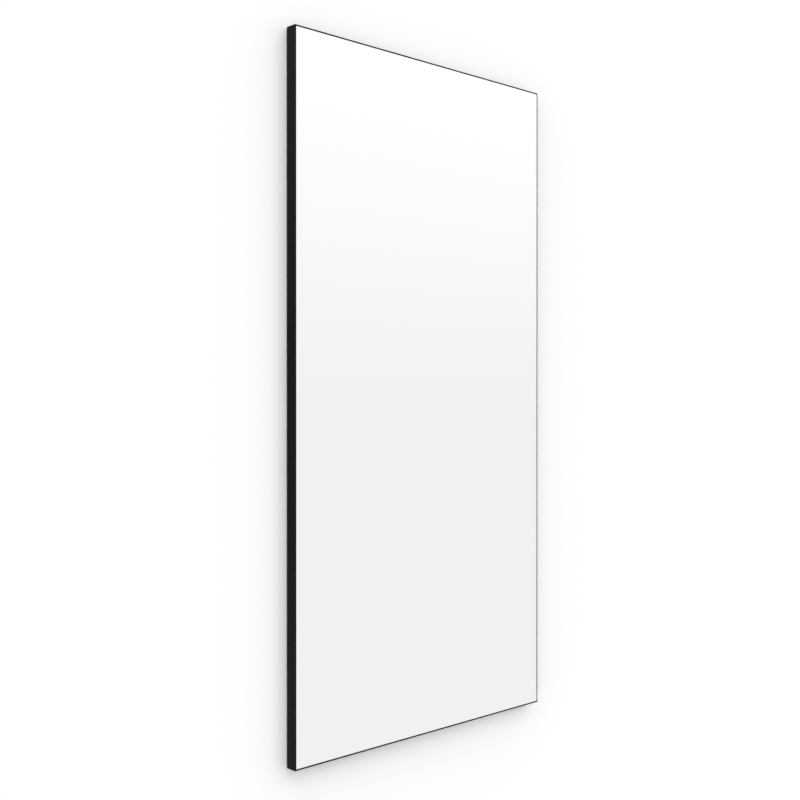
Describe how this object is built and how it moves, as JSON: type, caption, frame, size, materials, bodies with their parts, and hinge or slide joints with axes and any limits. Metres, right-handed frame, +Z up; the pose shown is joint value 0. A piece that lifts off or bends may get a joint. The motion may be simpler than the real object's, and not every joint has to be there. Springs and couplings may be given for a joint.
{
  "type": "pull out closet mirror",
  "caption": "Tall flat mirror in a slim black frame that slides out of a closet on hidden telescopic runners and turns to face the user.",
  "frame": {"origin": "centre of the rectangle of fixing holes, on the surface of the closet's side panel", "axes": "+Z up; -Y the way the glass faces; +Y into the side panel; +X along the mirror's width, away from the closet's opening, so the mirror pulls out along -X"},
  "size_m": [0.5, 0.0205, 1],
  "materials": {
    "silvered_glass": "silvered float glass with ground edges",
    "safety_film": "grey-blue film",
    "foam_tape": "white foam tape",
    "composite_panel": "dark grey coated composite",
    "black_frame": "satin black anodised",
    "die_cast": "grey tumbled casting",
    "zinc_steel": "bright zinc plated sheet",
    "bracket_steel": "black zinc plated steel",
    "turned_steel": "ground steel",
    "fasteners": "zinc plated",
    "bearing_balls": "polished",
    "cage_steel": "rolled strip",
    "magnet": "nickel plated",
    "nylon": "natural nylon",
    "buffer_rubber": "matt black",
    "felt": "dark grey felt"
  },
  "bodies": {
    "closet_frame": {"upper_mounting_rail": "zinc_steel", "lower_mounting_rail": "zinc_steel", "front_upright": "zinc_steel", "rear_upright": "zinc_steel", "upper_outer_runner": "zinc_steel", "lower_outer_runner": "zinc_steel", "runner_rivets": "fasteners", "closing_buffers": "buffer_rubber"},
    "carriage": {"upper_inner_runner": "zinc_steel", "lower_inner_runner": "zinc_steel", "upper_pivot_bracket": "bracket_steel", "lower_pivot_bracket": "bracket_steel", "bracket_rivets": "fasteners", "pivot_rod": "turned_steel", "spring_pins": "turned_steel", "thrust_washers": "nylon", "rod_clips": "bracket_steel", "stop_collar": "bracket_steel", "catch_magnets": "magnet"},
    "middle_runners": {"upper_middle_runner": "zinc_steel", "lower_middle_runner": "zinc_steel"},
    "outer_ball_cages": {"upper_outer_cage": "cage_steel", "lower_outer_cage": "cage_steel", "upper_outer_balls": "bearing_balls", "lower_outer_balls": "bearing_balls"},
    "inner_ball_cages": {"upper_inner_cage": "cage_steel", "lower_inner_cage": "cage_steel", "upper_inner_balls": "bearing_balls", "lower_inner_balls": "bearing_balls"},
    "mirror": {"mirror_glass": "silvered_glass", "safety_film": "safety_film", "tape_strips": "foam_tape", "back_panel": "composite_panel", "panel_screws": "fasteners", "block_screws": "fasteners", "left_stile": "black_frame", "right_stile": "black_frame", "top_rail": "black_frame", "bottom_rail": "black_frame", "corner_keys": "die_cast", "corner_screws": "fasteners", "rear_glides": "felt", "strike_plates": "zinc_steel", "upper_hinge_block": "die_cast", "lower_hinge_block": "die_cast", "pivot_bushes": "nylon", "friction_clamp": "die_cast", "friction_sleeve": "nylon", "clamp_screw": "fasteners"}
  },
  "joints": [
    {"name": "pull_out", "type": "slide", "parent": "closet_frame", "child": "carriage", "axis": [-1, 0, 0], "range_m": [0, 0.4]},
    {"name": "middle_runner_slide", "type": "slide", "parent": "closet_frame", "child": "middle_runners", "axis": [-1, 0, 0], "range_m": [0, 0.2]},
    {"name": "outer_cage_slide", "type": "slide", "parent": "closet_frame", "child": "outer_ball_cages", "axis": [-1, 0, 0], "range_m": [0, 0.1]},
    {"name": "inner_cage_slide", "type": "slide", "parent": "closet_frame", "child": "inner_ball_cages", "axis": [-1, 0, 0], "range_m": [0, 0.3]},
    {"name": "swing", "type": "hinge", "parent": "carriage", "child": "mirror", "pos_m": [-0.229, -0.00725, 0], "axis": [0, 0, -1], "range_deg": [0, 110]}
  ],
  "couplings": [
    {"joint": "middle_runner_slide", "follows": "pull_out", "ratio": 0.5},
    {"joint": "outer_cage_slide", "follows": "pull_out", "ratio": 0.25},
    {"joint": "inner_cage_slide", "follows": "pull_out", "ratio": 0.75}
  ]
}
